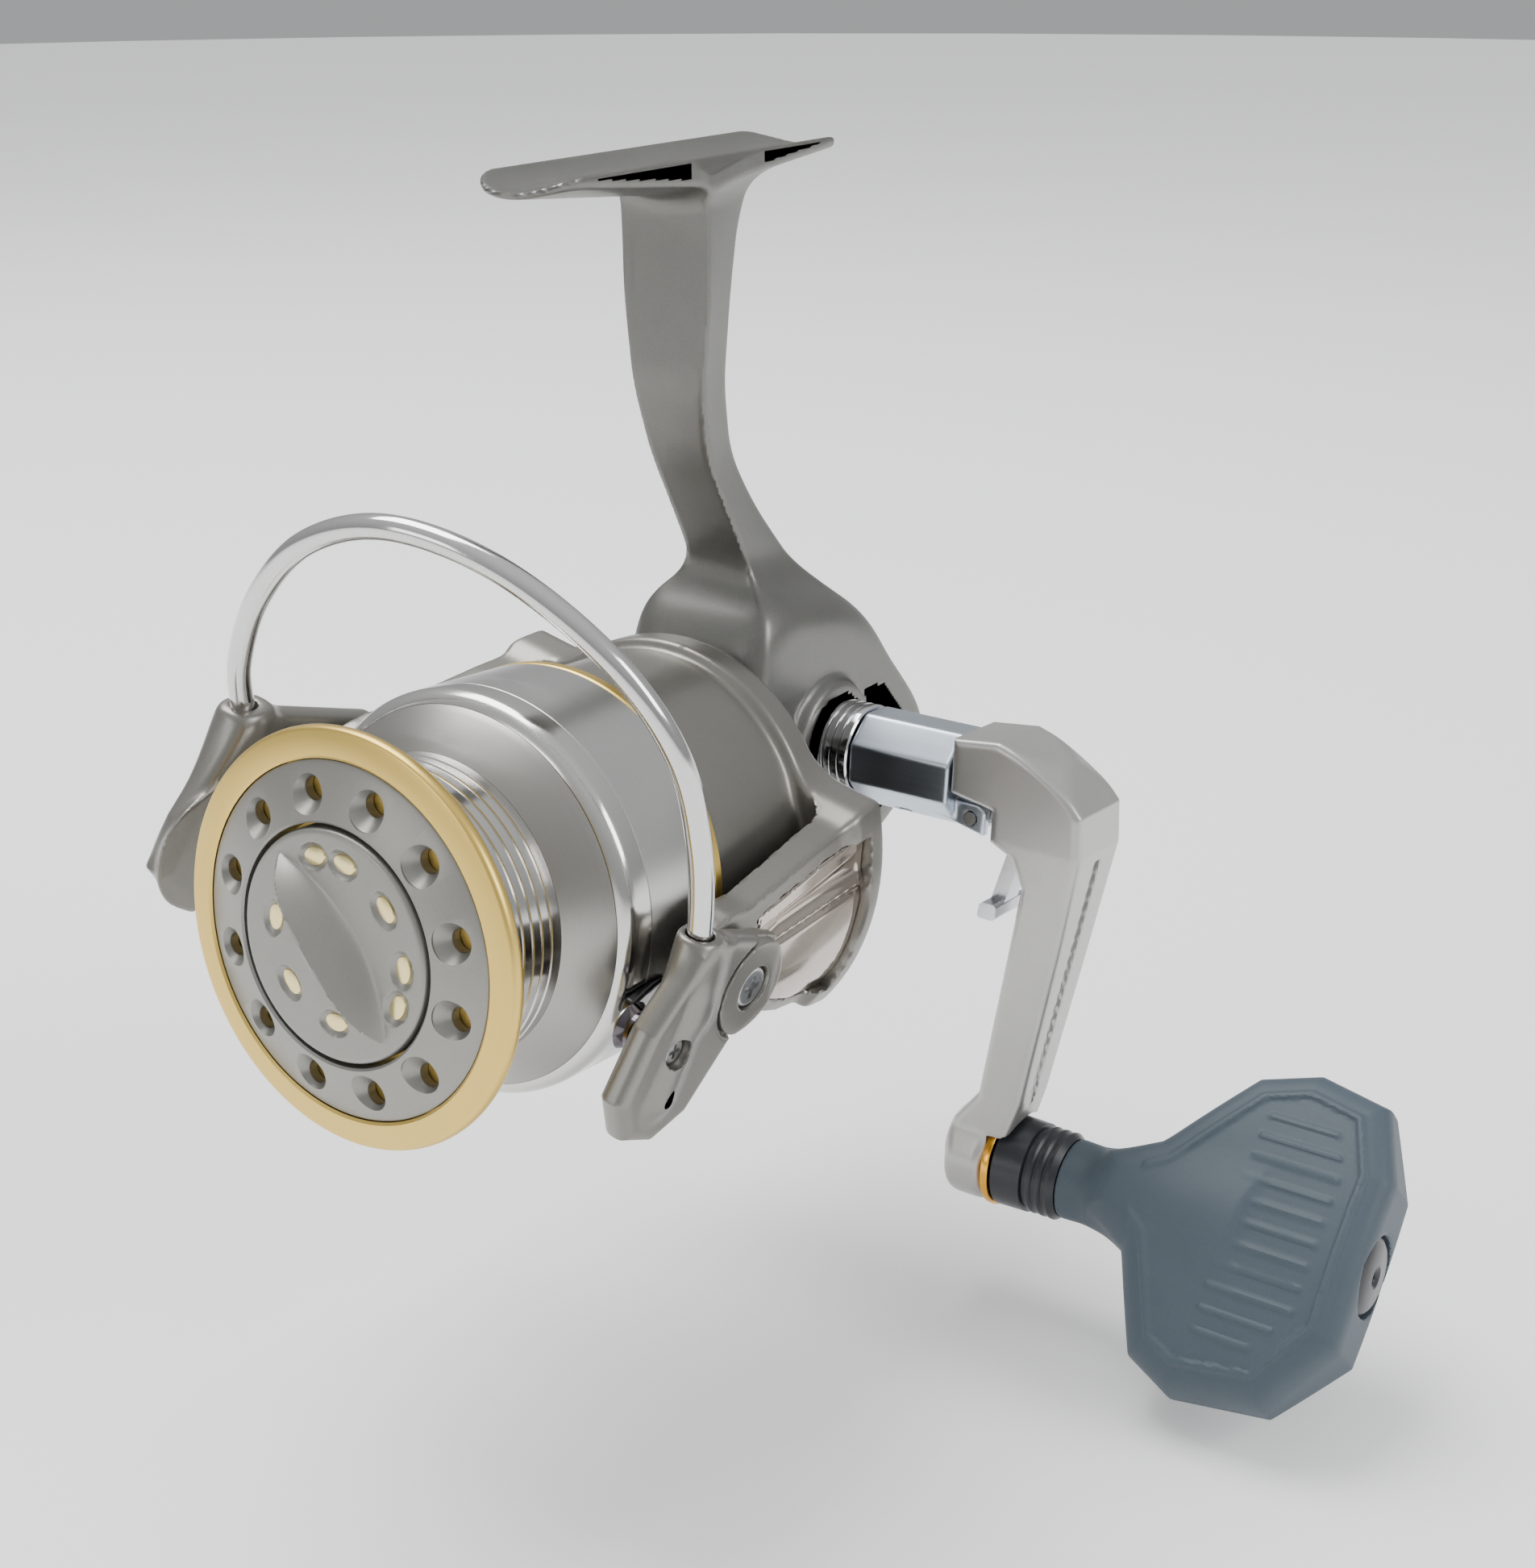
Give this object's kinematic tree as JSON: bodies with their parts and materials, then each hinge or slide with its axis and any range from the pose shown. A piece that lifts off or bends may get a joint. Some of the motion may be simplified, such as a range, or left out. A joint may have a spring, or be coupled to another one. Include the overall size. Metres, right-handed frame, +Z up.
{
  "type": "spinning reel",
  "caption": "Spinning reel with a rod foot, a geared rotor and bail, a spool with a front drag, and a folding handle with a T-shaped knob.",
  "frame": {"origin": "the lowest point of the foot's saddle, at the middle of its length", "axes": "+Z up towards the rod, +Y towards the rear of the reel, +X towards the handle; the spool faces -Y"},
  "size_m": [0.1458, 0.129, 0.167],
  "materials": {
    "body_paint": "satin metallic grey paint with a fine flake",
    "rotor_paint": "warm champagne-grey metallic paint",
    "arm_paint": "satin metallic paint",
    "stainless": "machined steel",
    "polished_wire": "polished stainless wire",
    "zinc_gear": "die-cast zinc",
    "brass": "machined brass",
    "white_nylon": "moulded nylon",
    "black_plastic": "moulded black plastic",
    "bronze_mirror": "polished, faintly bronze",
    "dark_roller": "dark hard-coated, polished",
    "spool_aluminium": "turned aluminium, satin and polished bands",
    "gold_anodised": "satin gold anodised",
    "dark_felt": "felt and steel washers",
    "gold_inlay": "polished pale gold",
    "chrome_collar": "polished chrome",
    "sleeve_aluminium": "satin anodised, faintly blue",
    "latch_silver": "satin silver",
    "orange_gold": "bright orange-gold anodised",
    "slate_rubber": "matt slate-grey rubber"
  },
  "bodies": {
    "reel_body": {"frame_housing": "body_paint", "side_cover": "body_paint", "rear_cap": "body_paint", "left_shaft_cap": "body_paint", "case_screws": "stainless", "guide_rods": "stainless", "pinion_bearing": "stainless", "drive_bearings": "stainless", "roller_clutch": "stainless", "clutch_plate": "stainless"},
    "crank": {"drive_shaft": "stainless", "drive_gear": "zinc_gear", "oscillation_pinion": "brass", "handle_collar": "chrome_collar", "handle_sleeve": "sleeve_aluminium", "fold_pin": "stainless"},
    "stroke_wheel": {"oscillation_gear": "white_nylon"},
    "shaft": {"main_shaft": "stainless", "oscillation_slider": "zinc_gear", "spool_support": "black_plastic", "click_ratchet": "black_plastic"},
    "spool": {"spool": "spool_aluminium", "spool_lip_ring": "gold_anodised", "spool_face_plate": "rotor_paint", "spool_skirt_ring": "gold_anodised", "line_clip": "black_plastic", "drag_washers": "dark_felt", "washer_retainer": "stainless", "click_pawl": "stainless"},
    "drag_knob": {"drag_knob": "rotor_paint", "knob_inlays": "gold_inlay", "drag_spring": "stainless"},
    "drag_nut": {"drag_nut": "brass"},
    "rotor": {"pinion": "brass", "rotor": "rotor_paint", "rotor_nut": "brass", "nut_retainer": "stainless", "right_arm_cover": "bronze_mirror", "left_arm_cover": "bronze_mirror", "arm_screws": "stainless", "bail_spring": "stainless", "spring_guide": "stainless"},
    "kick_lever": {"kick_lever": "stainless"},
    "bail": {"bail_lever": "rotor_paint", "bail_holder": "rotor_paint", "bail_wire": "polished_wire", "bail_pivot_screws": "stainless", "roller_bush": "brass", "roller_screw": "stainless"},
    "line_roller": {"line_roller": "dark_roller"},
    "handle_arm": {"handle_arm": "arm_paint", "knob_axle": "stainless", "axle_screw": "stainless"},
    "fold_lever": {"fold_lever": "latch_silver"},
    "handle_knob": {"knob_ring": "orange_gold", "knob_collar": "black_plastic", "knob_grip": "slate_rubber", "knob_end_cap": "black_plastic", "knob_bushes": "white_nylon"},
    "anti_reverse_lever": {"anti_reverse_lever": "black_plastic"}
  },
  "joints": [
    {"name": "crank_spin", "type": "hinge", "parent": "reel_body", "child": "crank", "pos_m": [0, 0.02033, -0.0845], "axis": [1, 0, 0], "continuous": true},
    {"name": "rotor_spin", "type": "hinge", "parent": "reel_body", "child": "rotor", "pos_m": [0, -0.0103, -0.09045], "axis": [0, 0.9963, -0.0858], "continuous": true},
    {"name": "stroke_wheel_spin", "type": "hinge", "parent": "reel_body", "child": "stroke_wheel", "pos_m": [0.0062, 0.0329, -0.09116], "axis": [1, 0, 0], "continuous": true},
    {"name": "spool_stroke", "type": "slide", "parent": "reel_body", "child": "shaft", "axis": [0, 0.9963, -0.0858], "range_m": [0, 0.014]},
    {"name": "spool_drag", "type": "hinge", "parent": "shaft", "child": "spool", "pos_m": [0, -0.05015, -0.08702], "axis": [0, 0.9963, -0.0858], "continuous": true},
    {"name": "drag_knob_turn", "type": "hinge", "parent": "shaft", "child": "drag_knob", "pos_m": [0, -0.07007, -0.0853], "axis": [0, 0.9963, -0.0858], "range_deg": [-360, 360]},
    {"name": "drag_nut_feed", "type": "slide", "parent": "drag_knob", "child": "drag_nut", "axis": [0, 0.9963, -0.0858], "range_m": [-0.0008, 0.0008]},
    {"name": "bail_flip", "type": "hinge", "parent": "rotor", "child": "bail", "pos_m": [0.03358, -0.03569, -0.09398], "axis": [0.9744, -0.0193, -0.2241], "range_deg": [0, 105]},
    {"name": "line_roller_spin", "type": "hinge", "parent": "bail", "child": "line_roller", "pos_m": [0.03073, -0.05093, -0.09613], "axis": [0.9744, -0.0193, -0.2241], "continuous": true},
    {"name": "kick_lever_slide", "type": "slide", "parent": "rotor", "child": "kick_lever", "axis": [0, 0.9963, -0.0858], "range_m": [0, 0.0015]},
    {"name": "handle_fold", "type": "hinge", "parent": "crank", "child": "handle_arm", "pos_m": [0.0392, 0.0199, -0.08944], "axis": [0, 0.9963, -0.0858], "range_deg": [0, 34]},
    {"name": "fold_latch", "type": "hinge", "parent": "handle_arm", "child": "fold_lever", "pos_m": [0.0458, 0.01982, -0.09043], "axis": [0, -0.9963, 0.0858], "range_deg": [0, 10], "stiffness_Nm_per_rad": 0.05},
    {"name": "knob_spin", "type": "hinge", "parent": "handle_arm", "child": "handle_knob", "pos_m": [0.06, 0.01777, -0.14275], "axis": [1, 0, 0], "continuous": true},
    {"name": "anti_reverse_switch", "type": "hinge", "parent": "reel_body", "child": "anti_reverse_lever", "pos_m": [0, 0.02582, -0.11403], "axis": [1, 0, 0], "range_deg": [0, 16]}
  ],
  "couplings": [
    {"joint": "rotor_spin", "follows": "crank_spin", "ratio": 5},
    {"joint": "stroke_wheel_spin", "follows": "crank_spin", "ratio": -0.47619},
    {"joint": "drag_nut_feed", "follows": "drag_knob_turn", "m_per_rad": 0.00012732},
    {"joint": "kick_lever_slide", "follows": "bail_flip", "m_per_rad": 0.00081851}
  ]
}
